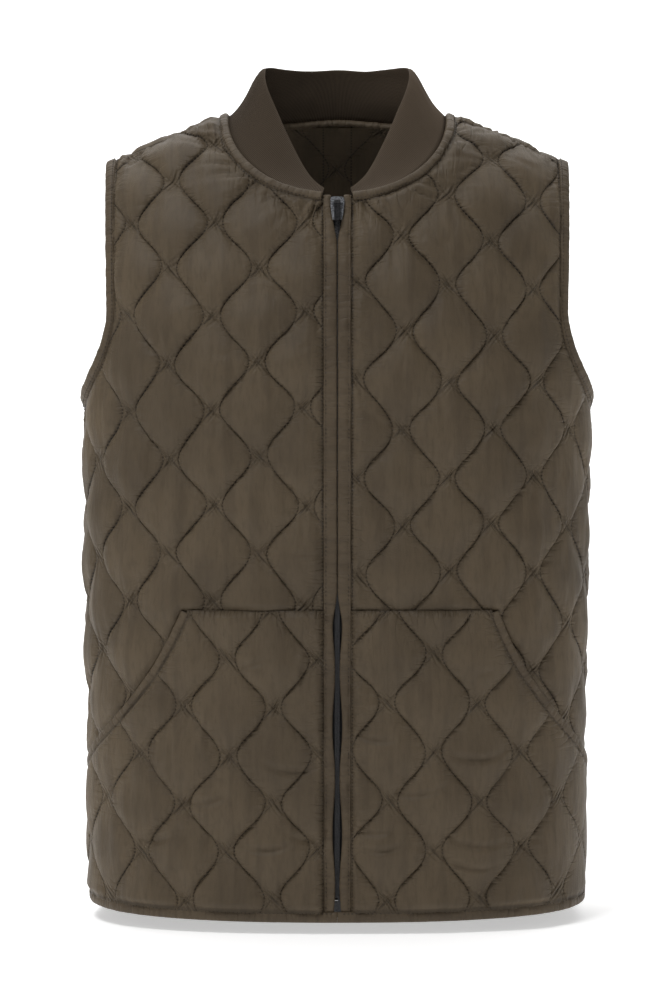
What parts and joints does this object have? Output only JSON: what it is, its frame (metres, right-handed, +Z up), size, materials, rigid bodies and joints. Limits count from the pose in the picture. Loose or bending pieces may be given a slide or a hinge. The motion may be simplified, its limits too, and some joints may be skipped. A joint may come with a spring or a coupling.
{
  "type": "quilted vest",
  "caption": "Sleeveless quilted vest with a zipped front, slanted patch pockets and a low ribbed stand collar, held open as if worn.",
  "frame": {"origin": "midway between the shoulders, at the height where the collar meets the shoulder seams", "axes": "+X to the wearer's left, +Y to the wearer's back, +Z up"},
  "size_m": [0.4392, 0.2517, 0.7136],
  "materials": {
    "quilted_cloth": "plain weave with a soft sheen",
    "plain_cloth": "plain weave with a soft sheen",
    "rib_knit": "matt rib knit",
    "zip_tape": "matt woven tape",
    "zip_metal": "dark plated metal"
  },
  "bodies": {
    "vest": {"back_panel": "quilted_cloth", "front_right_panel": "quilted_cloth", "front_left_panel": "quilted_cloth", "pocket_right": "quilted_cloth", "pocket_left": "quilted_cloth", "pocket_right_edge": "plain_cloth", "pocket_left_edge": "plain_cloth", "placket_right": "plain_cloth", "placket_left": "plain_cloth", "armhole_right_binding": "plain_cloth", "armhole_left_binding": "plain_cloth", "hem_right_binding": "plain_cloth", "hem_left_binding": "plain_cloth", "hem_back_binding": "plain_cloth", "neck_binding": "plain_cloth", "collar": "rib_knit", "zip_chain": "zip_tape", "zip_slider": "zip_metal", "zip_end_box": "zip_metal"},
    "pull_tab": {"zip_pull_tab": "zip_metal"}
  },
  "joints": [
    {"name": "pull_tab_hinge", "type": "hinge", "parent": "vest", "child": "pull_tab", "pos_m": [0, -0.10874, -0.08157], "axis": [-1, 0, 0], "range_deg": [0, 165]}
  ]
}
